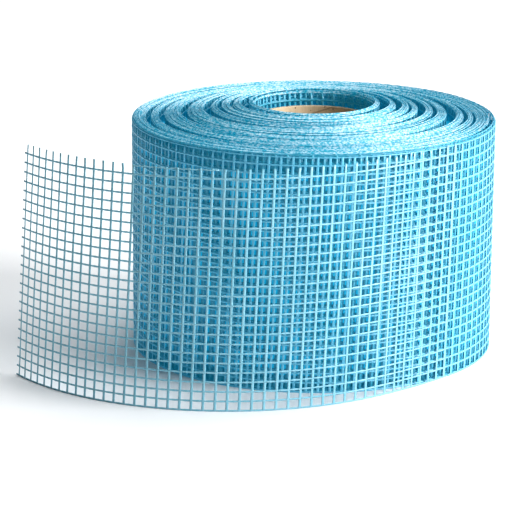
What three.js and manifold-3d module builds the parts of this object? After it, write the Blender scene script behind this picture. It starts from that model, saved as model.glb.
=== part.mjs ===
// A roll of open mesh joint tape, standing on its end with its free end led out in front of it.
// Millimetres, +Z up, the floor at z = 0 and the front towards -Y. The roll's axis is upright.
// The mesh tape is one piece: the wound turns are a turned solid with a bore, and the free end is a thin sheet
// that leaves the outermost turn. The tape is wound on a cardboard core.
import * as THREE from "three";
import { mergeVertices } from "three/addons/utils/BufferGeometryUtils.js";
import Module from "manifold-3d";

// Cardboard core, which stands on the floor inside the turns.
const CORE_BORE_RADIUS = 23.5;
const CORE_WALL = 2;
const CORE_LENGTH = 100;
const CORE_CLEARANCE = 0.3;

// Mesh tape, and the turns that lie tight together in each band, from the core outwards.
const TAPE_WIDTH = 100;
const TURN_THICKNESS = 0.35;
const TURNS_IN_BAND = [14, 10, 11, 10, 14, 15, 16, 17, 22];

// A loose turn leaves a narrow groove between two bands, open at both ends of the roll.
const GROOVE_WIDTH = 1;
const GROOVE_DEPTH = 4;

// The inner bands have slid up the core, so the top is a low cone and the bottom a shallow dish.
const CONE_RISE = 6.5;

// Free end: the angle from the front, towards the right, where it leaves the roll, and the two bends that it
// runs in from there, a slack one first and then the tighter one that the tape has kept from the roll.
const LEAVES_AT = THREE.MathUtils.degToRad(50);
const SLACK_BEND_RADIUS = 200;
const SLACK_BEND_LENGTH = 48;
const CURLED_BEND_RADIUS = 106;
const CURLED_BEND_LENGTH = 167;

// A plain grid of openings through the free end, which stands for the tape's far finer mesh.
const OPENINGS_ALONG = 12;
const OPENINGS_UP = 6;
const GRID_BAR = 3;

const ROUND_SEGMENTS = 64;

const TAPE_BLUE = new THREE.Color(0.33, 0.68, 0.86);
const CARDBOARD_BROWN = new THREE.Color(0.56, 0.47, 0.37);

const wasm = await Module();
wasm.setup();

function toSolid(geometry) {
  geometry.deleteAttribute("normal");
  geometry.deleteAttribute("uv");
  const merged = mergeVertices(geometry);
  return new wasm.Manifold(
    new wasm.Mesh({
      numProp: 3,
      vertProperties: merged.getAttribute("position").array,
      triVerts: new Uint32Array(merged.index.array),
    }),
  );
}

function toGeometry(solid) {
  const mesh = solid.getMesh();
  const geometry = new THREE.BufferGeometry();
  geometry.setAttribute("position", new THREE.BufferAttribute(mesh.vertProperties, 3));
  geometry.setIndex(new THREE.BufferAttribute(mesh.triVerts, 1));
  geometry.computeVertexNormals();
  return geometry;
}

// Turns an outline of (radius, height) points, closed on itself, about the upright axis.
function turned(outline) {
  const closed = [...outline, outline[0]];
  return new THREE.LatheGeometry(closed, ROUND_SEGMENTS).rotateX(Math.PI / 2);
}

// The inner and outer radius of each band of turns.
function bandsFrom(boreRadius) {
  const bands = [];
  let inner = boreRadius;
  for (const turns of TURNS_IN_BAND) {
    const outer = inner + turns * TURN_THICKNESS;
    bands.push({ inner, outer });
    inner = outer + GROOVE_WIDTH;
  }
  return bands;
}

const tapeBoreRadius = CORE_BORE_RADIUS + CORE_WALL + CORE_CLEARANCE;
const bands = bandsFrom(tapeBoreRadius);
const outerBand = bands[bands.length - 1];
const rollRadius = outerBand.outer;

// How far the turn at a radius has slid up: nothing in the outer band, and the full rise at the bore.
function slideAt(radius) {
  const slope = CONE_RISE / (outerBand.inner - tapeBoreRadius);
  return Math.max(0, outerBand.inner - radius) * slope;
}

// One end of the roll from the bore outwards: each band's two edges, and the floor of the groove after it.
function endOutline(endHeight, grooveStep) {
  const points = [];
  for (const band of bands) {
    points.push(new THREE.Vector2(band.inner, endHeight + slideAt(band.inner)));
    points.push(new THREE.Vector2(band.outer, endHeight + slideAt(band.outer)));
    if (band !== outerBand) {
      const grooveMiddle = band.outer + GROOVE_WIDTH / 2;
      points.push(new THREE.Vector2(grooveMiddle, endHeight + slideAt(grooveMiddle) + grooveStep));
    }
  }
  return points;
}

function woundTurns() {
  const bottom = endOutline(0, GROOVE_DEPTH);
  const top = endOutline(TAPE_WIDTH, -GROOVE_DEPTH);
  return turned([...bottom, ...top.reverse()]);
}

// Where the tape lies at a distance along the free end, seen from above, and the way that its outer face looks.
// The bends follow on from each other, from where the tape leaves the roll.
function freeEndAt(distance) {
  const bends = [
    { radius: SLACK_BEND_RADIUS, length: SLACK_BEND_LENGTH },
    { radius: CURLED_BEND_RADIUS, length: CURLED_BEND_LENGTH },
  ];
  const axis = new THREE.Vector2(0, 0);
  const outward = new THREE.Vector2(Math.sin(LEAVES_AT), -Math.cos(LEAVES_AT));
  const place = outward.clone().multiplyScalar(rollRadius - TURN_THICKNESS / 2);
  let left = distance;
  for (const { radius, length } of bends) {
    const run = Math.min(left, length);
    const centre = place.clone().addScaledVector(outward, -radius);
    place.rotateAround(centre, -run / radius);
    outward.rotateAround(axis, -run / radius);
    left -= run;
  }
  return { place, outward };
}

// A strip of the free end between stations along it, from the floor up, that reaches out to both sides of the tape's
// middle line.
function strip(stations, reach, height) {
  const edge = (offset) =>
    stations.map(({ place, outward }) => place.clone().addScaledVector(outward, offset));
  const plan = new THREE.Shape([...edge(reach), ...edge(-reach).reverse()]);
  return new THREE.ExtrudeGeometry(plan, { depth: height, bevelEnabled: false });
}

// A thin sheet with a bar along each edge of every opening.
function freeEnd() {
  const pitchAlong = (SLACK_BEND_LENGTH + CURLED_BEND_LENGTH - GRID_BAR) / OPENINGS_ALONG;
  const pitchUp = (TAPE_WIDTH - GRID_BAR) / OPENINGS_UP;
  const stations = [];
  for (let bar = 0; bar <= OPENINGS_ALONG; bar += 1) {
    stations.push(freeEndAt(bar * pitchAlong), freeEndAt(bar * pitchAlong + GRID_BAR));
  }
  let sheet = toSolid(strip(stations, TURN_THICKNESS / 2, TAPE_WIDTH));
  for (let column = 0; column < OPENINGS_ALONG; column += 1) {
    const sides = stations.slice(2 * column + 1, 2 * column + 3);
    for (let row = 0; row < OPENINGS_UP; row += 1) {
      const opening = strip(sides, TURN_THICKNESS, pitchUp - GRID_BAR);
      opening.translate(0, 0, row * pitchUp + GRID_BAR);
      sheet = sheet.subtract(toSolid(opening));
    }
  }
  return sheet;
}

function meshTape() {
  return toGeometry(toSolid(woundTurns()).add(freeEnd()));
}

function cardboardCore() {
  const outerRadius = CORE_BORE_RADIUS + CORE_WALL;
  return turned([
    new THREE.Vector2(CORE_BORE_RADIUS, 0),
    new THREE.Vector2(outerRadius, 0),
    new THREE.Vector2(outerRadius, CORE_LENGTH),
    new THREE.Vector2(CORE_BORE_RADIUS, CORE_LENGTH),
  ]);
}

const roll = new THREE.Group();

const tape = new THREE.Mesh(
  meshTape(),
  new THREE.MeshStandardMaterial({ color: TAPE_BLUE, roughness: 0.55, metalness: 0 }),
);
tape.name = "mesh_tape";
roll.add(tape);

const core = new THREE.Mesh(
  cardboardCore(),
  new THREE.MeshStandardMaterial({ color: CARDBOARD_BROWN, roughness: 0.9, metalness: 0 }),
);
core.name = "cardboard_core";
roll.add(core);

// The origin is the middle of the space that the roll and its free end take up on the floor.
const middle = new THREE.Box3().setFromObject(roll).getCenter(new THREE.Vector3());
roll.position.set(-middle.x, -middle.y, 0);

export default roll;
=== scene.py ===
"""A roll of glass-fibre mesh joint tape that stands on its end, with its free end led out in front of it.

The tape is laid out flat first: lengthwise strands are pairs of yarns that twist round each other, and
cross strands are flat ribbons that run through them. The flat tape is then wound on its real route, from
the free end to the core. Flat places are (along, up, out): metres along the tape from its free end, up
across its width, and out from its middle line, away from the core.
"""

import math

import bpy
import numpy as np
from mathutils import Matrix, Vector


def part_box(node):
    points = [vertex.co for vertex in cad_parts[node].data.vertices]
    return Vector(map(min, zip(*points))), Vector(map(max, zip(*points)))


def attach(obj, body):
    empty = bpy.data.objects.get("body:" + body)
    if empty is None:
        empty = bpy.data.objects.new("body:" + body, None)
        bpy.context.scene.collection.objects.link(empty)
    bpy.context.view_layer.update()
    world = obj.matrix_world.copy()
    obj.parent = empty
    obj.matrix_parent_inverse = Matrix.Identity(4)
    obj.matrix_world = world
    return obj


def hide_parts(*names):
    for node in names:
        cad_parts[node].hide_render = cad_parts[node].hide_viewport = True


bl_info = {
    "name": "Mesh Tape Roll",
    "version": (1, 0, 0),
    "blender": (4, 5, 0),
    "location": "View3D > Sidebar > Mesh Tape",
    "description": "Models a roll of open mesh joint tape on its cardboard core",
    "category": "Object",
}

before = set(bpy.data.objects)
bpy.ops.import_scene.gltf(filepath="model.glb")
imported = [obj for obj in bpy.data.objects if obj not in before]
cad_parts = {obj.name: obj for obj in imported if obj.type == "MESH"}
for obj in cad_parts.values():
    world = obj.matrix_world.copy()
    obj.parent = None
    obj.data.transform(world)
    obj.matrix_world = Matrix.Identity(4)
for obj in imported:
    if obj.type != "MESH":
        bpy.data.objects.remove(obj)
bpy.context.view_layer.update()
TAPE_LOW, TAPE_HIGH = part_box("mesh_tape")
CORE_LOW, CORE_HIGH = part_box("cardboard_core")
ROLL_AXIS = (CORE_LOW + CORE_HIGH) / 2
ROLL_RADIUS = TAPE_HIGH.y - ROLL_AXIS.y
CORE_RADIUS = (CORE_HIGH.x - CORE_LOW.x) / 2
CORE_LENGTH = CORE_HIGH.z - CORE_LOW.z

# Turns of tape, counted from the outermost one, after which the tape lies loose on one side of the roll:
# where the gap is closed, in degrees from the right-hand side of the roll, and how wide it opens on the
# other side.
LOOSE_TURNS = (
    (5, 175, 0.0014),
    (22, -10, 0.0024),
    (29, 200, 0.0014),
    (34, 15, 0.0028),
    (38, 170, 0.0019),
    (52, 190, 0.0042),
    (60, -15, 0.0030),
    (69, 175, 0.0019),
    (82, 185, 0.0034),
    (86, 10, 0.0034),
    (93, 180, 0.0013),
    (96, 5, 0.0019),
    (105, 195, 0.0029),
    (109, -5, 0.0015),
    (117, 170, 0.0042),
    (121, 20, 0.0038),
)
LOOSE_TURN_SHARPNESS = 2.2

# The turns' uneven heights: how far apart long and short waves come along the tape, and the share of each
LONG_WAVE = 0.21
SHORT_WAVE = 0.03
LONG_WAVE_SHARE = 0.8
SHORT_WAVE_SHARE = 0.2

# A cross strand is this much wider where a lengthwise strand crosses it
CROSSING_SPREAD = 1.12

# The edge yarn hangs lower between two cross strands, and lies in front of one and behind the next
EDGE_SAG = 0.00012
EDGE_WEAVE = 0.00006

# The yarn left at the free end's tips: the cells it runs between, its size, how far it lies below the edge
# and how far it strays up and out
LEFT_YARN_CELLS = (13, 20.6)
LEFT_YARN_WIDTH = 0.0005
LEFT_YARN_THICKNESS = 0.00028
LEFT_YARN_DROP = 0.0002
LEFT_YARN_WANDER = 0.00008
LEFT_YARN_WEAVE = 0.00012

# The fibres that it frays into: how far each reaches past its end, how far it rises and how far it stands out
FRAYED_FIBRES = (
    (0.0042, -0.0012, 0.0005),
    (0.0035, 0.0006, -0.0004),
    (0.0028, -0.0022, 0.0002),
    (0.0046, -0.0001, 0.0001),
)
FIBRE_WIDTH = 0.00016
FIBRE_THICKNESS = 0.00014

# Cardboard: the height that its wound strip climbs a turn, and the seam's share of that height
STRIP_CLIMB = 0.055
SEAM_SHARE = 0.012

ROUND_SEGMENTS = 128

# Square lamps that face the middle of the roll: name, place, side in metres and power in watts
LAMPS = (
    ("key_light", (1.25, -0.45, 0.6), 0.8, 33.0),
    ("top_light", (0.9, 1.2, 2.1), 3.0, 72.0),
)
FILL_LIGHT = 0.1


class TapeSizes(bpy.types.PropertyGroup):
    """Sizes of the flat tape."""

    width: bpy.props.FloatProperty(
        name="Width", description="Width of the tape, fringe included", default=CORE_LENGTH, unit="LENGTH"
    )
    cell_length: bpy.props.FloatProperty(
        name="Cell length", description="Spacing of the cross strands", default=0.005, unit="LENGTH"
    )
    cell_rows: bpy.props.IntProperty(
        name="Cell rows", description="Rows of cells across the tape", default=24, min=1
    )
    bottom_row: bpy.props.FloatProperty(
        name="Bottom row", description="Height of the lowest lengthwise strand", default=0.0003, unit="LENGTH"
    )
    fringe: bpy.props.FloatProperty(
        name="Fringe", description="Height of the cut cross strands above the top row",
        default=0.0037, unit="LENGTH",
    )
    loose_tips: bpy.props.FloatProperty(
        name="Loose tips", description="How far the free end's tips stand above the tape's width",
        default=0.0004, unit="LENGTH",
    )
    cross_width: bpy.props.FloatProperty(
        name="Cross strand width", description="Width of a cross strand", default=0.0011, unit="LENGTH"
    )
    cross_thickness: bpy.props.FloatProperty(
        name="Cross strand thickness", description="Thickness of a cross strand",
        default=0.00017, unit="LENGTH",
    )
    yarn_width: bpy.props.FloatProperty(
        name="Yarn width", description="Width of one of a lengthwise strand's two yarns",
        default=0.0006, unit="LENGTH",
    )
    yarn_thickness: bpy.props.FloatProperty(
        name="Yarn thickness", description="Thickness of one yarn", default=0.0002, unit="LENGTH"
    )
    yarn_spread: bpy.props.FloatProperty(
        name="Yarn spread", description="How far a yarn lies to the side between crossings", default=0.00014,
        unit="LENGTH",
    )
    yarn_lift: bpy.props.FloatProperty(
        name="Yarn lift", description="How far a yarn lies in front of a cross strand",
        default=0.00012, unit="LENGTH",
    )
    edge_width: bpy.props.FloatProperty(
        name="Edge yarn width", description="Width of the yarn that binds the cross strands' tips",
        default=0.00055, unit="LENGTH",
    )
    edge_thickness: bpy.props.FloatProperty(
        name="Edge yarn thickness", description="Thickness of that yarn", default=0.00022, unit="LENGTH"
    )
    lean: bpy.props.FloatProperty(
        name="Lean", description="How far a cross strand's top lies further along than its foot",
        default=0.0042, unit="LENGTH",
    )
    cut_lean: bpy.props.FloatProperty(
        name="Lean at the cut", description="How far the tape's top leans in towards the roll at its cut end",
        default=0.0042, unit="LENGTH",
    )
    cut_reach: bpy.props.FloatProperty(
        name="Reach of that lean", description="How far from the cut end it fades out",
        default=0.115, unit="LENGTH",
    )
    cut_squeeze: bpy.props.FloatProperty(
        name="Squeezed cells", description="How much shorter the cells near the cut end are, all together",
        default=0.007, unit="LENGTH",
    )


class RollSizes(bpy.types.PropertyGroup):
    """Sizes of the wound roll and its free end."""

    turns: bpy.props.IntProperty(name="Turns", description="Turns of tape on the core", default=129, min=10)
    turn_thickness: bpy.props.FloatProperty(
        name="Turn thickness", description="Thickness that the outermost turn takes",
        default=0.00035, unit="LENGTH",
    )
    core_clearance: bpy.props.FloatProperty(
        name="Core clearance", description="Gap between the core and the first turn",
        default=0.0003, unit="LENGTH",
    )
    flat_turns: bpy.props.IntProperty(
        name="Level turns", description="Outer turns that haven't slid up", default=22, min=0
    )
    unevenness: bpy.props.FloatProperty(
        name="Unevenness", description="How far turns lie above each other at random",
        default=0.0014, unit="LENGTH",
    )
    leaves_at: bpy.props.FloatProperty(
        name="Leaves at",
        description="Angle from the front, to the right, where the free end leaves the roll",
        default=math.radians(50), subtype="ANGLE",
    )
    slack_bend_radius: bpy.props.FloatProperty(
        name="Slack bend radius", description="Bend of the free end next to the roll",
        default=0.2, unit="LENGTH",
    )
    slack_bend_length: bpy.props.FloatProperty(
        name="Slack bend length", description="Length of that bend along the tape",
        default=0.048, unit="LENGTH",
    )
    curled_bend_radius: bpy.props.FloatProperty(
        name="Curled bend radius", description="Bend of the rest of the free end",
        default=0.106, unit="LENGTH",
    )
    curled_bend_length: bpy.props.FloatProperty(
        name="Curled bend length", description="Length of that bend along the tape",
        default=0.167, unit="LENGTH",
    )
    open_turns: bpy.props.IntProperty(
        name="Open turns", description="Outer turns that are modelled as whole mesh, the outermost included",
        default=4, min=1,
    )
    packed_depth: bpy.props.FloatProperty(
        name="Packed depth", description="Depth below the roll's ends at which the turns read as one mass",
        default=0.007, unit="LENGTH",
    )


class CoreSizes(bpy.types.PropertyGroup):
    """Sizes of the cardboard core."""

    wall: bpy.props.FloatProperty(
        name="Wall", description="Wall of the cardboard tube", default=0.002, unit="LENGTH"
    )
    rim_round: bpy.props.FloatProperty(
        name="Rim rounding", description="Rounding of the tube's worn rims", default=0.0003, unit="LENGTH"
    )


RGBA = {"size": 4, "min": 0.0, "max": 1.0}


class Finishes(bpy.types.PropertyGroup):
    """Colours of the pieces."""

    strand: bpy.props.FloatVectorProperty(
        name="Strand", description="Coated glass strand",
        default=(0.02, 0.46, 0.66, 1.0), subtype="COLOR", **RGBA,
    )
    strand_pale: bpy.props.FloatVectorProperty(
        name="Pale strand", description="Strand where the coating is thin",
        default=(0.38, 0.70, 0.85, 1.0), subtype="COLOR", **RGBA,
    )
    # Painted shade: the free end is the same tape as the outermost turn, in darker copies of its colours
    shaded: bpy.props.FloatVectorProperty(
        name="Shaded strand", description="Strand of the free end, seen against the light",
        default=(0.03, 0.33, 0.44, 1.0), subtype="COLOR", **RGBA,
    )
    shaded_pale: bpy.props.FloatVectorProperty(
        name="Pale shaded strand", description="Strand of the free end where the coating is thin",
        default=(0.38, 0.62, 0.74, 1.0), subtype="COLOR", **RGBA,
    )
    # A paler colour that the edge yarns take in fine speckled patches
    rim: bpy.props.FloatVectorProperty(
        name="Edge yarn", description="Edge yarn where the coating has worn thin",
        default=(0.66, 0.78, 0.84, 1.0), subtype="COLOR", **RGBA,
    )
    # Painted shade: the turns below are the same tape, in darker copies of the strand colours
    wound: bpy.props.FloatVectorProperty(
        name="Wound strand", description="Strand inside the roll",
        default=(0.0, 0.40, 0.56, 1.0), subtype="COLOR", **RGBA,
    )
    wound_pale: bpy.props.FloatVectorProperty(
        name="Pale wound strand", description="Strand inside the roll where the coating is thin",
        default=(0.18, 0.50, 0.66, 1.0), subtype="COLOR", **RGBA,
    )
    # Painted shade: the darker blue of the depth between turns, shown between the packed turns' strands
    packed: bpy.props.FloatVectorProperty(
        name="Packed turns", description="Depth between the turns",
        default=(0.0, 0.38, 0.60, 1.0), subtype="COLOR", **RGBA,
    )
    cardboard: bpy.props.FloatVectorProperty(
        name="Cardboard", description="Grey-brown cardboard",
        default=(0.60, 0.47, 0.32, 1.0), subtype="COLOR", **RGBA,
    )
    floor: bpy.props.FloatVectorProperty(
        name="Floor", description="Plain pale floor",
        default=(0.9, 0.91, 0.92, 1.0), subtype="COLOR", **RGBA,
    )


class StudioSizes(bpy.types.PropertyGroup):
    """Camera and floor."""

    lens: bpy.props.FloatProperty(
        name="Lens", description="Focal length in millimetres", default=173.9, unit="CAMERA"
    )
    distance: bpy.props.FloatProperty(
        name="Distance", description="Camera's distance in front of the roll's axis",
        default=1.048, unit="LENGTH",
    )
    height: bpy.props.FloatProperty(
        name="Height", description="Camera's height above the floor", default=0.3218, unit="LENGTH"
    )
    pitch: bpy.props.FloatProperty(
        name="Pitch", description="How far the camera looks down",
        default=math.radians(15.17), subtype="ANGLE",
    )
    yaw: bpy.props.FloatProperty(
        name="Yaw", description="How far the camera looks to the right",
        default=math.radians(-1.37), subtype="ANGLE",
    )
    roll: bpy.props.FloatProperty(
        name="Roll", description="How far the camera is turned about its own axis",
        default=math.radians(0.26), subtype="ANGLE",
    )
    floor_side: bpy.props.FloatProperty(
        name="Floor side", description="Side of the square floor", default=3.2, unit="LENGTH"
    )


def settings(name):
    """The scene's own copy of one group of sizes."""
    return getattr(bpy.context.scene, name)


def noise_along(places, spacing, seed):
    """Smooth noise from 0 to 1 along the tape, with a new value every spacing."""
    knots = np.random.default_rng(seed).random(int(places.max() / spacing) + 4)
    steps = places / spacing
    low = steps.astype(int)
    share = steps - low
    share = share * share * (3 - 2 * share)
    return knots[low] * (1 - share) + knots[low + 1] * share


class Route:
    """The tape's route in plan, from its free end to the core, and how it rises as it goes."""

    STEP = 0.001
    WOUND_STEPS = 1.5

    def __init__(self):
        self.tape = settings("mesh_tape_sizes")
        self.roll = settings("mesh_roll_sizes")
        free = self.free_end()
        wound = self.wound_turns()
        points = np.vstack([free[0], wound[0][1:]])
        self.normals = np.vstack([free[1], wound[1][1:]])
        self.points = points
        gaps = np.linalg.norm(np.diff(points, axis=0), axis=1)
        self.along = np.concatenate([[0], np.cumsum(gaps)])
        self.free_length = self.along[len(free[0]) - 1]
        self.length = self.along[-1]
        turns = np.concatenate([np.zeros(len(free[0])), wound[2][1:]])
        self.turn = turns
        self.rise = self.slide(turns) + self.unevenness(turns)

    def middle_radius(self):
        return ROLL_RADIUS - self.roll.turn_thickness / 2

    def free_end(self):
        """The free end's bends, laid end to end from where the tape leaves the roll, then turned round."""
        roll = self.roll
        radius = self.middle_radius()
        heading = math.pi + roll.leaves_at
        place = np.array([radius * math.sin(roll.leaves_at), -radius * math.cos(roll.leaves_at)])
        points, normals = [], []
        for bend, length in (
            (roll.slack_bend_radius, roll.slack_bend_length),
            (roll.curled_bend_radius, roll.curled_bend_length),
        ):
            centre = place + bend * np.array([math.sin(heading), -math.cos(heading)])
            first = heading + math.pi / 2
            angles = np.linspace(first, first - length / bend, round(length / self.STEP) + 1)
            outward = np.column_stack([np.cos(angles), np.sin(angles)])
            points.append(centre + bend * outward)
            normals.append(outward)
            place = points[-1][-1]
            heading = angles[-1] - math.pi / 2
        points = np.vstack([points[0][:-1], points[1]])[::-1]
        normals = np.vstack([normals[0][:-1], normals[1]])[::-1]
        return points, normals

    def wound_turns(self):
        """The turns on the core, from the outermost one inwards, with a gap after each loose turn."""
        roll = self.roll
        outer = self.middle_radius()
        inner = CORE_RADIUS + roll.core_clearance + roll.turn_thickness / 2
        start = roll.leaves_at - math.pi / 2
        samples = int(roll.turns * math.tau * ROLL_RADIUS / self.STEP / self.WOUND_STEPS)
        turned = np.linspace(0, roll.turns * math.tau, samples)
        angle = start + turned
        passed = np.zeros(samples)
        total = np.zeros(samples)
        for turn, closed_at, width in LOOSE_TURNS:
            closed = math.radians(closed_at)
            opening = width * ((1 - np.cos(angle - closed)) / 2) ** LOOSE_TURN_SHARPNESS
            begins = turn * math.tau + (closed - start) % math.tau
            passed += np.where(turned > begins, opening, 0)
            total += opening
        radius = outer - passed - (outer - inner - total) * turned / turned[-1]
        outward = np.column_stack([np.cos(angle), np.sin(angle)])
        return radius[:, None] * outward, outward, turned / math.tau

    def slide(self, turns):
        """How far the turns have slid up the core: nothing in the outer band, most at the core."""
        rise = TAPE_HIGH.z - self.tape.width
        share = (turns - self.roll.flat_turns) / (self.roll.turns - self.roll.flat_turns)
        return rise * np.clip(share, 0, 1)

    def unevenness(self, turns):
        """Turns don't lie quite level. The outermost one stands level, and it fades in over the next one."""
        uneven = self.roll.unevenness
        long_waves = LONG_WAVE_SHARE * noise_along(self.along, LONG_WAVE, seed=11)
        level = long_waves + SHORT_WAVE_SHARE * noise_along(self.along, SHORT_WAVE, seed=12)
        return uneven * level * np.clip(turns - 1, 0, 1) - uneven * np.clip(turns - self.roll.turns + 3, 0, 1)

    def wind(self, flat):
        """Places in the room for places on the flat tape."""
        moved = shaped(flat)
        along, up, out = moved[..., 0], moved[..., 1], moved[..., 2]
        x, y, nx, ny, rise = (
            np.interp(along, self.along, column)
            for column in (*self.points.T, *self.normals.T, self.rise)
        )
        before = np.minimum(along, 0)
        x = x + before * (self.points[1, 0] - self.points[0, 0]) / self.along[1]
        y = y + before * (self.points[1, 1] - self.points[0, 1]) / self.along[1]
        return np.stack([x + out * nx + ROLL_AXIS.x, y + out * ny + ROLL_AXIS.y, up + rise], axis=-1)


def row_heights():
    """Heights of the lengthwise strands."""
    tape = settings("mesh_tape_sizes")
    return np.linspace(tape.bottom_row, tape.width - tape.fringe, tape.cell_rows + 1)


def shaped(flat):
    """Flat places moved as the tape has been pulled about.

    Its cross strands lean along it, and towards the cut end its cells are shorter and its top leans in.
    """
    tape = settings("mesh_tape_sizes")
    share = flat[..., 1] / tape.width
    near_cut = np.clip(1 - flat[..., 0] / tape.cut_reach, 0, 1)
    moved = flat.copy()
    moved[..., 0] += tape.lean * (share - 0.5) + tape.cut_squeeze * (near_cut ** 1.5 - 1)
    moved[..., 2] -= tape.cut_lean * share * np.sqrt(near_cut)
    return moved


ROUND_SECTION = np.array([(math.cos(a), math.sin(a)) for a in np.arange(6) * math.tau / 6])
RIBBON_SECTION = np.array([(1, 0), (0.62, 1), (-0.62, 1), (-1, 0), (-0.62, -1), (0.62, -1)])
SQUARE_SECTION = np.array([(1, 1), (-1, 1), (-1, -1), (1, -1)])
DIAMOND_SECTION = np.array([(1, 0), (0, 1), (-1, 0), (0, -1)])


def strands(lines, widths, thicknesses, section, crosswise):
    """Flat places and faces of many like strands, from a row of places on each strand's middle line.

    A crosswise strand runs up the tape, and its width lies along the tape. Other strands run along the tape.
    """
    count, places, _ = lines.shape
    sides = len(section)
    widths = np.broadcast_to(widths, (count, places))
    thicknesses = np.broadcast_to(thicknesses, (count, places))
    offsets = np.zeros((count, places, sides, 3))
    order = section[::-1] if crosswise else section
    offsets[..., 0 if crosswise else 1] = widths[..., None] / 2 * order[:, 0]
    offsets[..., 2] = thicknesses[..., None] / 2 * order[:, 1]
    flat = (lines[:, :, None, :] + offsets).reshape(-1, 3)

    ring = np.arange(sides)
    after = (ring + 1) % sides
    first = np.arange(count)[:, None, None] * places * sides
    here = first + np.arange(places - 1)[None, :, None] * sides
    walls = np.stack([here + ring, here + after, here + sides + after, here + sides + ring], axis=-1)
    faces = [walls.reshape(-1, 4)]
    starts = np.arange(count)[:, None] * places * sides
    ends = starts + (places - 1) * sides
    for low in range(1, sides - 2, 2):
        faces.append(np.concatenate([starts + 0, starts + low + 2, starts + low + 1, starts + low], axis=1))
        faces.append(np.concatenate([ends + 0, ends + low, ends + low + 1, ends + low + 2], axis=1))
    lengths = np.linalg.norm(np.diff(lines, axis=1), axis=2)
    run = np.concatenate([np.zeros((count, 1)), np.cumsum(lengths, axis=1)], axis=1)
    run = np.repeat(run[:, :, None], sides, axis=2).reshape(-1)
    around = np.tile(ring / sides, count * places)
    return flat, np.vstack(faces), np.column_stack([run, around])


def woven_piece(name, route, parts):
    """One mesh of several sets of strands, wound on the route."""
    places, faces, marks, used = [], [], [], 0
    for flat, part_faces, part_marks in parts:
        places.append(route.wind(flat))
        faces.append(part_faces + used)
        marks.append(part_marks)
        used += len(flat)
    return mesh_piece(name, np.vstack(places), np.vstack(faces), np.vstack(marks))


def mesh_piece(name, places, faces, marks):
    """A mesh object of four-sided faces, with marks of where each corner lies along and around its strand."""
    mesh = bpy.data.meshes.new(name)
    mesh.vertices.add(len(places))
    mesh.vertices.foreach_set("co", places.astype(np.float32).ravel())
    mesh.loops.add(faces.size)
    mesh.loops.foreach_set("vertex_index", faces.astype(np.int32).ravel())
    mesh.polygons.add(len(faces))
    mesh.polygons.foreach_set("loop_start", np.arange(0, faces.size, 4, dtype=np.int32))
    mesh.update(calc_edges=True)
    mesh.validate()
    uv = mesh.uv_layers.new(name="strand")
    uv.data.foreach_set("uv", marks[faces.ravel()].astype(np.float32).ravel())
    piece = bpy.data.objects.new(name, mesh)
    bpy.context.scene.collection.objects.link(piece)
    return piece


def twisted_yarns(rows, first_cell, last_cell, section):
    """Both yarns of each lengthwise strand, from the middle of one cell to the middle of another.

    At each cross strand one yarn lies in front and the other behind, and they change places between.
    """
    tape = settings("mesh_tape_sizes")
    halves = np.arange(2 * first_cell, 2 * last_cell + 1) / 2
    phase = (halves - 0.5) * math.pi
    heights = row_heights()[rows]
    lines = np.zeros((len(rows), 2, len(halves), 3))
    lines[..., 0] = halves * tape.cell_length
    lines[..., 1] = heights[:, None, None]
    for yarn, side in enumerate((1, -1)):
        lines[:, yarn, :, 1] += side * tape.yarn_spread * np.sin(phase)
        lines[:, yarn, :, 2] += side * tape.yarn_lift * np.cos(phase)
    lines = lines.reshape(len(rows) * 2, len(halves), 3)
    return strands(lines, tape.yarn_width, tape.yarn_thickness, section, crosswise=False)


def plain_rows(rows, first_cell, last_cell):
    """Lengthwise strands with their two yarns as one, for the turns that lie deep in the roll."""
    tape = settings("mesh_tape_sizes")
    cells = np.arange(first_cell, last_cell + 1)
    lines = np.zeros((len(rows), len(cells), 3))
    lines[..., 0] = cells * tape.cell_length
    lines[..., 1] = row_heights()[rows][:, None]
    width = 2 * tape.yarn_spread + tape.yarn_width
    thickness = tape.yarn_thickness + tape.yarn_lift / 2
    return strands(lines, width, thickness, DIAMOND_SECTION, crosswise=False)


def edge_yarn(first_cell, last_cell, steps, section):
    """The yarn along the top edge, which binds the cross strands' tips and sags a little between them."""
    tape = settings("mesh_tape_sizes")
    along = np.arange(first_cell * steps, last_cell * steps + 1) / steps
    line = np.zeros((1, len(along), 3))
    line[0, :, 0] = (along + 0.5) * tape.cell_length
    sag = EDGE_SAG * (1 - np.cos(along * math.tau)) / 2
    line[0, :, 1] = tape.width - tape.edge_width / 2 - sag
    line[0, :, 2] = EDGE_WEAVE * np.cos(along * math.pi)
    return strands(line, tape.edge_width, tape.edge_thickness, section, crosswise=False)


def cross_strands(first_cell, last_cell, heights, section, ragged, seed):
    """Cross strands through the middle of each cell, from the foot to the cut tip, which strays a little."""
    tape = settings("mesh_tape_sizes")
    cells = np.arange(first_cell, last_cell)
    chance = np.random.default_rng(seed)
    lines = np.zeros((len(cells), len(heights), 3))
    lines[..., 0] = (cells[:, None] + 0.5) * tape.cell_length
    lines[..., 1] = heights
    stray = chance.normal(size=(len(cells), 3)) * ragged
    lines[:, -1, 0] += stray[:, 0]
    lines[:, -1, 1] -= np.abs(stray[:, 1])
    lines[:, -1, 2] += stray[:, 2] / 4
    widths = np.full(len(heights), tape.cross_width)
    on_row = np.isclose(heights[:, None], row_heights()[None, :]).any(axis=1)
    widths[on_row] *= CROSSING_SPREAD
    return strands(lines, widths, tape.cross_thickness, section, crosswise=True)


def full_heights(tip):
    """A place on each row and between rows, and the tip."""
    tape = settings("mesh_tape_sizes")
    rows = row_heights()
    between = (rows[1:] + rows[:-1]) / 2
    return np.sort(np.concatenate([[0.0], rows, between, [rows[-1] + tape.fringe / 2, tip]]))


def free_cells(route):
    """Whole cells on the free end."""
    return round((route.free_length + route.tape.cut_squeeze) / route.tape.cell_length)


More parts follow.
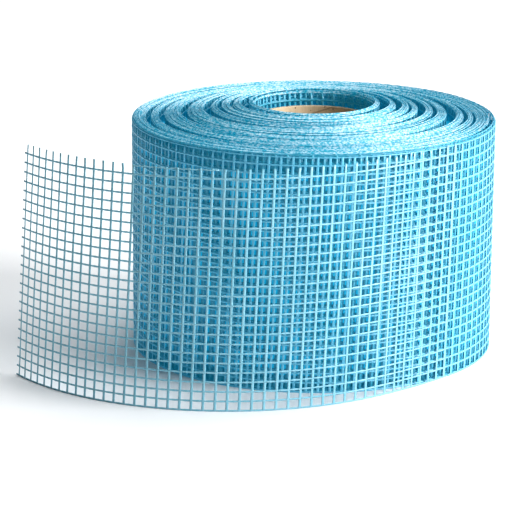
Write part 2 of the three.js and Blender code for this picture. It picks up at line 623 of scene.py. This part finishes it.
def all_cells(route):
    """Whole cells on the tape."""
    return int(route.length / route.tape.cell_length) - 1


def open_cells(route):
    """Cells up to the end of the turns that are modelled as whole mesh."""
    end = np.searchsorted(route.turn, route.roll.open_turns)
    return int(route.along[end] / route.tape.cell_length)


def loose_edge_strand():
    """A lengthwise yarn that is left at the tips of a few cross strands, and frays where it ends."""
    tape = settings("mesh_tape_sizes")
    first_cell, last_cell = LEFT_YARN_CELLS
    along = np.arange(first_cell * 4, round(last_cell * 4) + 1) / 4
    height = tape.width - LEFT_YARN_DROP
    line = np.zeros((1, len(along), 3))
    line[0, :, 0] = (along + 0.5) * tape.cell_length
    line[0, :, 1] = height + LEFT_YARN_WANDER * np.sin(along * 5.0)
    line[0, :, 2] = LEFT_YARN_WEAVE * np.cos(along * math.pi)
    parts = [strands(line, LEFT_YARN_WIDTH, LEFT_YARN_THICKNESS, ROUND_SECTION, crosswise=False)]
    end = line[0, -1]
    steps = np.linspace(0, 1, 7)
    for reach, rise, spread in FRAYED_FIBRES:
        fibre = np.zeros((1, len(steps), 3))
        fibre[0, :, 0] = end[0] + (steps - 0.2) * reach
        fibre[0, :, 1] = end[1] + rise * steps ** 2
        fibre[0, :, 2] = end[2] + spread * steps ** 2
        widths = FIBRE_WIDTH * (1.15 - steps)
        parts.append(strands(fibre, widths, FIBRE_THICKNESS, ROUND_SECTION, crosswise=False))
    return parts


def feed(tree, socket, value):
    """Links a socket to another one, or sets it to a plain value."""
    if isinstance(value, bpy.types.NodeSocket):
        tree.links.new(value, socket)
    else:
        socket.default_value = value


def node_inputs(tree, node, values):
    """Feeds a node's inputs by name, with a low line for each space."""
    for name, value in values.items():
        feed(tree, node.inputs[name.replace("_", " ")], value)
    return node


def add_node(tree, kind, **values):
    """A node with its inputs."""
    return node_inputs(tree, tree.nodes.new(kind), values)


def calculate(tree, operation, *values):
    """The result of a sum on one to three values."""
    node = tree.nodes.new("ShaderNodeMath")
    node.operation = operation
    for socket, value in zip(node.inputs, values):
        feed(tree, socket, value)
    return node.outputs[0]


def mixed(tree, share, low, high):
    """A colour between two others."""
    node = tree.nodes.new("ShaderNodeMix")
    node.data_type = "RGBA"
    for socket, value in ((node.inputs[0], share), (node.inputs[6], low), (node.inputs[7], high)):
        feed(tree, socket, value)
    return node.outputs[2]


def new_group(name, inputs, outputs):
    """A shader node group with its sockets, and its input and output nodes."""
    group = bpy.data.node_groups.new(name, "ShaderNodeTree")
    for label, kind, value in inputs:
        socket = group.interface.new_socket(name=label, in_out="INPUT", socket_type=kind)
        if value is not None:
            socket.default_value = value
    for label, kind in outputs:
        group.interface.new_socket(name=label, in_out="OUTPUT", socket_type=kind)
    return group, group.nodes.new("NodeGroupInput"), group.nodes.new("NodeGroupOutput")


def patchy_tone_group():
    """Broad and fine patches of tone in the object's own space."""
    name = "Patchy tone"
    if name in bpy.data.node_groups:
        return bpy.data.node_groups[name]
    group, start, end = new_group(
        name,
        (
            ("Vector", "NodeSocketVector", None),
            ("Broad", "NodeSocketFloat", 30.0),
            ("Fine", "NodeSocketFloat", 400.0),
        ),
        (("Broad", "NodeSocketFloat"), ("Fine", "NodeSocketFloat")),
    )
    for label, detail in (("Broad", 2.0), ("Fine", 3.0)):
        vector, scale = start.outputs["Vector"], start.outputs[label]
        patches = add_node(group, "ShaderNodeTexNoise", Vector=vector, Scale=scale, Detail=detail)
        group.links.new(patches.outputs["Fac"], end.inputs[label])
    return group


def fibre_group():
    """Fine lines that run along a strand, in its own along-and-around marks."""
    name = "Fibre lines"
    if name in bpy.data.node_groups:
        return bpy.data.node_groups[name]
    group, start, end = new_group(
        name,
        (("Vector", "NodeSocketVector", None), ("Fibres around", "NodeSocketFloat", 14.0)),
        (("Lines", "NodeSocketFloat"),),
    )
    parts = add_node(group, "ShaderNodeSeparateXYZ", Vector=start.outputs["Vector"])
    around = calculate(group, "MULTIPLY", parts.outputs["Y"], start.outputs["Fibres around"])
    along = calculate(group, "MULTIPLY", parts.outputs["X"], 260.0)
    joined = add_node(group, "ShaderNodeCombineXYZ", X=along, Y=around)
    lines = add_node(group, "ShaderNodeTexNoise", Vector=joined.outputs["Vector"], Scale=1.0, Detail=2.0)
    group.links.new(lines.outputs["Fac"], end.inputs["Lines"])
    return group


def wound_rows_group():
    """A mask of strands on a wound mass: rows up its wall, cross strands around it and rings on its ends."""
    name = "Wound rows"
    if name in bpy.data.node_groups:
        return bpy.data.node_groups[name]
    group, start, end = new_group(
        name,
        (
            ("Vector", "NodeSocketVector", None),
            ("Row pitch", "NodeSocketFloat", 0.004),
            ("Strand pitch", "NodeSocketFloat", 0.005),
            ("Turn pitch", "NodeSocketFloat", 0.0004),
            ("Radius", "NodeSocketFloat", 0.07),
        ),
        (("Wall", "NodeSocketFloat"), ("Rings", "NodeSocketFloat")),
    )
    parts = add_node(group, "ShaderNodeSeparateXYZ", Vector=start.outputs["Vector"])
    angle = calculate(group, "ARCTAN2", parts.outputs["Y"], parts.outputs["X"])
    around = calculate(group, "MULTIPLY", angle, start.outputs["Radius"])
    masks = []
    height = parts.outputs["Z"]
    for place, pitch, strand_share in ((height, "Row pitch", 0.17), (around, "Strand pitch", 0.36)):
        cell = calculate(group, "FRACT", calculate(group, "DIVIDE", place, start.outputs[pitch]))
        masks.append(calculate(group, "LESS_THAN", cell, strand_share))
    wall = calculate(group, "MAXIMUM", *masks)
    across = calculate(
        group, "SQRT",
        calculate(
            group, "ADD",
            calculate(group, "POWER", parts.outputs["X"], 2.0),
            calculate(group, "POWER", parts.outputs["Y"], 2.0),
        ),
    )
    rings = calculate(group, "PINGPONG", calculate(group, "DIVIDE", across, start.outputs["Turn pitch"]), 0.5)
    group.links.new(wall, end.inputs["Wall"])
    group.links.new(calculate(group, "MULTIPLY", rings, 2.0), end.inputs["Rings"])
    return group


def place_group(tree, group, **values):
    """A node that holds a group."""
    node = tree.nodes.new("ShaderNodeGroup")
    node.node_tree = group
    return node_inputs(tree, node, values)


def new_material(name):
    """An empty material with its shader, and the object's own coordinates."""
    material = bpy.data.materials.new(name)
    material.use_nodes = True
    tree = material.node_tree
    shader = tree.nodes["Principled BSDF"]
    coordinates = tree.nodes.new("ShaderNodeTexCoord")
    return material, tree, shader, coordinates


def centred(tree, coordinates):
    """The object's coordinates with the roll's axis at their middle."""
    node = add_node(tree, "ShaderNodeMapping", Vector=coordinates.outputs["Object"])
    node.inputs["Location"].default_value = (-ROLL_AXIS.x, -ROLL_AXIS.y, 0)
    return node.outputs["Vector"]


def coated_glass(name, base, pale, passes, coat, painted_glow, speckle=0.0):
    """Glass fibre in a thin glossy coating, with its fibres showing through.

    Some light passes through it, and it glows a little in its own base colour: a painted glow for light
    that seeps in from all round, through the open mesh. Speckle sets how strongly fine patches change its
    tone.
    """
    if name in bpy.data.materials:
        return bpy.data.materials[name]
    material, tree, shader, coordinates = new_material(name)
    patches = place_group(
        tree, patchy_tone_group(), Vector=coordinates.outputs["Object"], Broad=45.0, Fine=900.0
    )
    lines = place_group(tree, fibre_group(), Vector=coordinates.outputs["UV"], Fibres_around=16.0)
    tone = calculate(tree, "MULTIPLY_ADD", lines.outputs["Lines"], 0.6, -0.1)
    tone = calculate(tree, "MULTIPLY_ADD", patches.outputs["Broad"], 0.5, tone)
    speck = calculate(tree, "SUBTRACT", patches.outputs["Fine"], 0.5)
    tone = calculate(tree, "MULTIPLY_ADD", speck, speckle, tone)
    colour = mixed(tree, tone, tuple(base), tuple(pale))
    tree.links.new(colour, shader.inputs["Base Color"])
    rough = calculate(tree, "MULTIPLY_ADD", patches.outputs["Fine"], 0.25, 0.28)
    tree.links.new(rough, shader.inputs["Roughness"])
    relief = add_node(tree, "ShaderNodeBump", Height=lines.outputs["Lines"], Strength=0.35, Distance=0.00005)
    tree.links.new(relief.outputs["Normal"], shader.inputs["Normal"])
    shader.inputs["Coat Weight"].default_value = coat
    shader.inputs["Coat Roughness"].default_value = 0.45
    shader.inputs["Specular IOR Level"].default_value = 0.5 + 0.5 * coat
    # Painted glow: the strand glows faintly in its own base colour, for light that seeps in through the mesh
    shader.inputs["Emission Color"].default_value = tuple(base)
    shader.inputs["Emission Strength"].default_value = painted_glow
    through = add_node(tree, "ShaderNodeBsdfTranslucent", Color=colour)
    both = tree.nodes.new("ShaderNodeMixShader")
    both.inputs[0].default_value = passes
    tree.links.new(shader.outputs[0], both.inputs[1])
    tree.links.new(through.outputs[0], both.inputs[2])
    tree.links.new(both.outputs[0], tree.nodes["Material Output"].inputs["Surface"])
    return material


def strand_material():
    """The outermost turn."""
    colours = settings("mesh_roll_finishes")
    return coated_glass(
        "Coated glass mesh", colours.strand, colours.strand_pale, passes=0.15, coat=0.7, painted_glow=0.16
    )


def free_end_material():
    """The free end, which is lit from behind, in darker copies of the strand colours: painted shade."""
    colours = settings("mesh_roll_finishes")
    return coated_glass(
        "Coated glass mesh, free end", colours.shaded, colours.shaded_pale, passes=0.02, coat=0.5, painted_glow=0.0
    )


def rim_material():
    """The yarns along the tape's edges, between the wound strands' colour and a paler one in fine speckled
    patches.
    """
    colours = settings("mesh_roll_finishes")
    return coated_glass(
        "Coated glass mesh, edge", colours.wound, colours.rim, passes=0.2, coat=0.6, painted_glow=0.25, speckle=5.0
    )


def wound_strand_material():
    """Painted shade: the turns below, whose light has come through blue strands and so looks deeper,
    in darker copies of the strand colours.
    """
    colours = settings("mesh_roll_finishes")
    return coated_glass(
        "Coated glass mesh, wound", colours.wound, colours.wound_pale,
        passes=0.3, coat=0.5, painted_glow=0.16, speckle=2.0,
    )


def packed_material():
    """The depth of the roll, where the turns read as one mass of strands, with painted shade between them and
    a painted glow.
    """
    colours = settings("mesh_roll_finishes")
    material, tree, shader, coordinates = new_material("Packed mesh turns")
    vector = centred(tree, coordinates)
    rows = place_group(tree, wound_rows_group(), Vector=vector, Radius=ROLL_RADIUS)
    patches = place_group(tree, patchy_tone_group(), Vector=vector, Broad=120.0, Fine=700.0)
    strength = calculate(tree, "MULTIPLY", rows.outputs["Wall"], patches.outputs["Broad"])
    strength = calculate(tree, "MULTIPLY_ADD", rows.outputs["Rings"], 0.25, strength)
    # Strands in the strand colour, with the darker packed colour between them as painted shade of the depth
    colour = mixed(tree, strength, tuple(colours.packed), tuple(colours.strand))
    tree.links.new(colour, shader.inputs["Base Color"])
    rough = calculate(tree, "MULTIPLY_ADD", patches.outputs["Fine"], 0.2, 0.5)
    tree.links.new(rough, shader.inputs["Roughness"])
    relief = add_node(tree, "ShaderNodeBump", Height=strength, Strength=0.5, Distance=0.0003)
    tree.links.new(relief.outputs["Normal"], shader.inputs["Normal"])
    # Painted glow in the packed turns' own colours, for light that seeps through the open mesh from all round
    tree.links.new(colour, shader.inputs["Emission Color"])
    shader.inputs["Emission Strength"].default_value = 0.45
    return material


def cardboard_material():
    """Grey-brown cardboard wound from a strip, with pulp fibres, dark specks and the strip's spiral seam."""
    colours = settings("mesh_roll_finishes")
    material, tree, shader, coordinates = new_material("Grey cardboard")
    vector = centred(tree, coordinates)
    parts = add_node(tree, "ShaderNodeSeparateXYZ", Vector=vector)
    angle = calculate(tree, "ARCTAN2", parts.outputs["Y"], parts.outputs["X"])
    turn = calculate(tree, "DIVIDE", angle, math.tau)
    strip = calculate(tree, "MULTIPLY_ADD", parts.outputs["Z"], 1 / STRIP_CLIMB, turn)
    strip = calculate(tree, "FRACT", strip)
    seam = calculate(tree, "LESS_THAN", strip, SEAM_SHARE)
    patches = place_group(tree, patchy_tone_group(), Vector=vector, Broad=55.0, Fine=600.0)
    base = tuple(colours.cardboard)
    light = tuple(min(1, 1.35 * part) for part in base[:3]) + (1,)
    dark = tuple(0.45 * part for part in base[:3]) + (1,)
    colour = mixed(tree, patches.outputs["Broad"], dark, light)
    stretched = add_node(tree, "ShaderNodeMapping", Vector=vector)
    stretched.inputs["Scale"].default_value = (1, 1, 0.25)
    vector_along = stretched.outputs["Vector"]
    fibres = add_node(tree, "ShaderNodeTexNoise", Vector=vector_along, Scale=1500.0, Detail=4.0)
    fibre_tone = calculate(tree, "MULTIPLY_ADD", fibres.outputs["Fac"], 0.8, -0.15)
    colour = mixed(tree, fibre_tone, colour, light)
    specks = add_node(tree, "ShaderNodeTexVoronoi", Vector=vector, Scale=330.0, Randomness=1.0)
    speck = calculate(tree, "LESS_THAN", specks.outputs["Distance"], 0.13)
    speck = calculate(tree, "MULTIPLY", speck, calculate(tree, "GREATER_THAN", patches.outputs["Broad"], 0.5))
    marks = calculate(tree, "MAXIMUM", speck, calculate(tree, "MULTIPLY", seam, 0.6))
    colour = mixed(tree, marks, colour, dark)
    tree.links.new(colour, shader.inputs["Base Color"])
    shader.inputs["Roughness"].default_value = 0.92
    height = calculate(tree, "SUBTRACT", fibres.outputs["Fac"], seam)
    relief = add_node(tree, "ShaderNodeBump", Height=height, Strength=0.4, Distance=0.0002)
    tree.links.new(relief.outputs["Normal"], shader.inputs["Normal"])
    return material


def floor_material():
    """A plain pale studio floor."""
    colours = settings("mesh_roll_finishes")
    material, _, shader, _ = new_material("Studio floor")
    shader.inputs["Base Color"].default_value = tuple(colours.floor)
    shader.inputs["Roughness"].default_value = 0.85
    return material


def finish_piece(piece, material):
    """Gives a piece its material and its body."""
    piece.data.materials.clear()
    piece.data.materials.append(material)
    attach(piece, "root")


def deselect_all():
    """Leaves nothing selected."""
    bpy.ops.object.select_all(action="DESELECT")


def select_faces(piece, test):
    """Selects the faces of the piece in edit mode whose middle and normal pass the test."""
    bpy.ops.object.mode_set(mode="OBJECT")
    for polygon in piece.data.polygons:
        polygon.select = test(polygon.center, polygon.normal)
    bpy.ops.object.mode_set(mode="EDIT")


def faces_up_or_down(normal):
    return abs(normal.z) > 0.9


def from_axis(point):
    """How far a point lies from the roll's axis, in plan."""
    return math.hypot(point.x - ROLL_AXIS.x, point.y - ROLL_AXIS.y)


def tube(name, radius, bore, length):
    """A tube on the roll's axis, standing on the floor: a cylinder whose ends are inset and bridged."""
    deselect_all()
    middle = (ROLL_AXIS.x, ROLL_AXIS.y, length / 2)
    bpy.ops.mesh.primitive_cylinder_add(
        vertices=ROUND_SEGMENTS, radius=radius, depth=length, location=middle
    )
    piece = bpy.context.object
    piece.name = name
    bpy.ops.object.transform_apply(location=True, rotation=False, scale=False)
    bpy.ops.object.mode_set(mode="EDIT")
    bpy.ops.mesh.select_mode(type="FACE")
    select_faces(piece, lambda point, normal: faces_up_or_down(normal))
    bpy.ops.mesh.inset(thickness=radius - bore)
    select_faces(
        piece, lambda point, normal: faces_up_or_down(normal) and from_axis(point) < bore / 2
    )
    bpy.ops.mesh.bridge_edge_loops()
    bpy.ops.object.mode_set(mode="OBJECT")
    return piece


class MESHTAPE_OT_free_end(bpy.types.Operator):
    """Weaves the free end, with its cut ends and the yarn left at a few of its tips"""

    bl_idname = "mesh_tape.free_end"
    bl_label = "Free End"

    def execute(self, context):
        route = Route()
        rows = np.arange(route.tape.cell_rows + 1)
        last = free_cells(route)
        tip = route.tape.width + route.tape.loose_tips
        parts = [
            twisted_yarns(rows, 0, last, ROUND_SECTION),
            cross_strands(0, last, full_heights(tip), RIBBON_SECTION, ragged=0.0001, seed=3),
            *loose_edge_strand(),
        ]
        piece = woven_piece("free_end", route, parts)
        finish_piece(piece, free_end_material())
        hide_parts("mesh_tape")
        return {"FINISHED"}


class MESHTAPE_OT_outer_turns(bpy.types.Operator):
    """Weaves the outermost turn, and the turns that show through it"""

    bl_idname = "mesh_tape.outer_turns"
    bl_label = "Outer Turns"

    def execute(self, context):
        route = Route()
        rows = np.arange(route.tape.cell_rows + 1)
        first = free_cells(route)
        second = first + round(math.tau * ROLL_RADIUS / route.tape.cell_length)
        last = open_cells(route)
        outermost = woven_piece(
            "outermost_turn",
            route,
            [
                twisted_yarns(rows, first, second, SQUARE_SECTION),
                cross_strands(
                    first, second, full_heights(route.tape.width), RIBBON_SECTION, ragged=0.00005, seed=5
                ),
                edge_yarn(first, second, 4, ROUND_SECTION),
            ],
        )
        finish_piece(outermost, strand_material())
        plain_heights = np.concatenate([[0.0], row_heights()[1:], [route.tape.width]])
        under = woven_piece(
            "under_turns",
            route,
            [
                plain_rows(rows, second, last),
                cross_strands(second, last, plain_heights, SQUARE_SECTION, ragged=0.00008, seed=7),
                edge_yarn(second, last, 2, ROUND_SECTION),
            ],
        )
        finish_piece(under, wound_strand_material())
        return {"FINISHED"}


class MESHTAPE_OT_wound_ends(bpy.types.Operator):
    """Adds every inner turn's cross strands, and its rows of lengthwise strands near both ends of the roll"""

    bl_idname = "mesh_tape.wound_ends"
    bl_label = "Wound Ends"

    def execute(self, context):
        route = Route()
        first, last = open_cells(route), all_cells(route)
        top = route.tape.cell_rows
        tip = route.tape.width - route.tape.edge_width
        straight = np.array([0.0, route.tape.width - route.tape.fringe, tip])
        for name, part, material in (
            (
                "inner_cross_strands",
                cross_strands(first, last, straight, SQUARE_SECTION, ragged=0.00012, seed=9),
                wound_strand_material(),
            ),
            ("top_edge_strands", plain_rows(np.array([top]), first, last), wound_strand_material()),
            ("bottom_edge_strands", plain_rows(np.array([0, 1]), first, last), wound_strand_material()),
            ("edge_yarn", edge_yarn(first, last, 1, DIAMOND_SECTION), rim_material()),
        ):
            piece = woven_piece(name, route, [part])
            finish_piece(piece, material)
        return {"FINISHED"}


class MESHTAPE_OT_packed_turns(bpy.types.Operator):
    """Fills the hidden middle of the roll, under its ends and its outer turns"""

    bl_idname = "mesh_tape.packed_turns"
    bl_label = "Packed Turns"

    def execute(self, context):
        roll = settings("mesh_roll_sizes")
        tape = settings("mesh_tape_sizes")
        loose = sum(width for turn, _, width in LOOSE_TURNS if turn <= roll.open_turns)
        radius = ROLL_RADIUS - (roll.open_turns + 0.5) * roll.turn_thickness - loose
        bore = CORE_RADIUS + roll.core_clearance + roll.turn_thickness
        piece = tube("packed_turns", radius, bore, tape.width - 2 * roll.packed_depth)
        middle = (radius + bore) / 2
        rise = TAPE_HIGH.z - tape.width
        for vertex in piece.data.vertices:
            vertex.co.z += roll.packed_depth
            if from_axis(vertex.co) < middle:
                vertex.co.z += rise
        finish_piece(piece, packed_material())
        return {"FINISHED"}


class MESHTAPE_OT_cardboard_tube(bpy.types.Operator):
    """Makes the cardboard core, with worn, slightly rounded rims"""

    bl_idname = "mesh_tape.cardboard_tube"
    bl_label = "Cardboard Tube"

    def execute(self, context):
        core = settings("mesh_core_sizes")
        piece = tube("cardboard_tube", CORE_RADIUS, CORE_RADIUS - core.wall, CORE_LENGTH)
        bevel = piece.modifiers.new("Worn rims", "BEVEL")
        bevel.width = core.rim_round
        bevel.segments = 3
        bevel.limit_method = "ANGLE"
        bevel.angle_limit = math.radians(60)
        deselect_all()
        piece.select_set(True)
        bpy.context.view_layer.objects.active = piece
        bpy.ops.object.modifier_apply(modifier=bevel.name)
        bpy.ops.object.shade_smooth_by_angle(angle=math.radians(35))
        finish_piece(piece, cardboard_material())
        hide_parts("cardboard_core")
        return {"FINISHED"}


class MESHTAPE_OT_studio(bpy.types.Operator):
    """Sets up the floor, the soft lights and the camera"""

    bl_idname = "mesh_tape.studio"
    bl_label = "Studio"

    def execute(self, context):
        studio = settings("mesh_studio_sizes")
        deselect_all()
        bpy.ops.mesh.primitive_plane_add(size=studio.floor_side, location=(0, 0, -0.0001))
        floor = bpy.context.object
        floor.name = "studio_floor"
        floor.data.materials.append(floor_material())
        self.add_lights()
        self.add_world()
        self.add_camera(studio)
        context.scene.view_settings.view_transform = "Standard"
        context.scene.view_settings.look = "Medium High Contrast"
        return {"FINISHED"}

    def add_lights(self):
        target = Vector((ROLL_AXIS.x, ROLL_AXIS.y, 0.05))
        for name, place, side, power in LAMPS:
            data = bpy.data.lights.new(name, "AREA")
            data.size = side
            data.energy = power
            light = bpy.data.objects.new(name, data)
            light.location = Vector(place)
            light.rotation_euler = (target - light.location).to_track_quat("-Z", "Y").to_euler()
            bpy.context.scene.collection.objects.link(light)

    def add_world(self):
        world = bpy.data.worlds.new("White studio")
        world.use_nodes = True
        background = world.node_tree.nodes["Background"]
        background.inputs["Color"].default_value = (1, 1, 1, 1)
        # The backdrop is white to the camera, and only fills the shadows a little
        rays = world.node_tree.nodes.new("ShaderNodeLightPath")
        strength = calculate(world.node_tree, "MAXIMUM", rays.outputs["Is Camera Ray"], FILL_LIGHT)
        world.node_tree.links.new(strength, background.inputs["Strength"])
        bpy.context.scene.world = world

    def add_camera(self, studio):
        data = bpy.data.cameras.new("camera")
        data.lens = studio.lens
        data.sensor_width = 36.0
        data.clip_end = 20.0
        camera = bpy.data.objects.new("camera", data)
        forward = Vector((
            math.sin(studio.yaw) * math.cos(studio.pitch),
            math.cos(studio.yaw) * math.cos(studio.pitch),
            -math.sin(studio.pitch),
        ))
        level = forward.cross(Vector((0, 0, 1))).normalized()
        above = level.cross(forward)
        right = math.cos(studio.roll) * level + math.sin(studio.roll) * above
        up = math.cos(studio.roll) * above - math.sin(studio.roll) * level
        turned = Matrix((right, up, -forward)).transposed().to_4x4()
        place = Vector((ROLL_AXIS.x, ROLL_AXIS.y - studio.distance, studio.height))
        camera.matrix_world = Matrix.Translation(place) @ turned
        bpy.context.scene.collection.objects.link(camera)
        bpy.context.scene.camera = camera


OPERATORS = (
    MESHTAPE_OT_free_end,
    MESHTAPE_OT_outer_turns,
    MESHTAPE_OT_wound_ends,
    MESHTAPE_OT_packed_turns,
    MESHTAPE_OT_cardboard_tube,
    MESHTAPE_OT_studio,
)
SETTINGS = (
    ("mesh_tape_sizes", TapeSizes),
    ("mesh_roll_sizes", RollSizes),
    ("mesh_core_sizes", CoreSizes),
    ("mesh_roll_finishes", Finishes),
    ("mesh_studio_sizes", StudioSizes),
)


class MESHTAPE_PT_panel(bpy.types.Panel):
    """Lists the pieces and their sizes in the sidebar"""

    bl_label = "Mesh Tape Roll"
    bl_space_type = "VIEW_3D"
    bl_region_type = "UI"
    bl_category = "Mesh Tape"

    def draw(self, context):
        for operator in OPERATORS:
            self.layout.operator(operator.bl_idname)
        for name, group in SETTINGS:
            box = self.layout.box()
            for size in group.__annotations__:
                box.prop(getattr(context.scene, name), size)


def register():
    for name, group in SETTINGS:
        bpy.utils.register_class(group)
        setattr(bpy.types.Scene, name, bpy.props.PointerProperty(type=group))
    for operator in OPERATORS:
        bpy.utils.register_class(operator)
    bpy.utils.register_class(MESHTAPE_PT_panel)


def unregister():
    bpy.utils.unregister_class(MESHTAPE_PT_panel)
    for operator in reversed(OPERATORS):
        bpy.utils.unregister_class(operator)
    for name, group in reversed(SETTINGS):
        delattr(bpy.types.Scene, name)
        bpy.utils.unregister_class(group)


def main():
    register()
    bpy.ops.mesh_tape.free_end()
    bpy.ops.mesh_tape.outer_turns()
    bpy.ops.mesh_tape.wound_ends()
    bpy.ops.mesh_tape.packed_turns()
    bpy.ops.mesh_tape.cardboard_tube()
    bpy.ops.mesh_tape.studio()


if __name__ == "__main__":
    main()
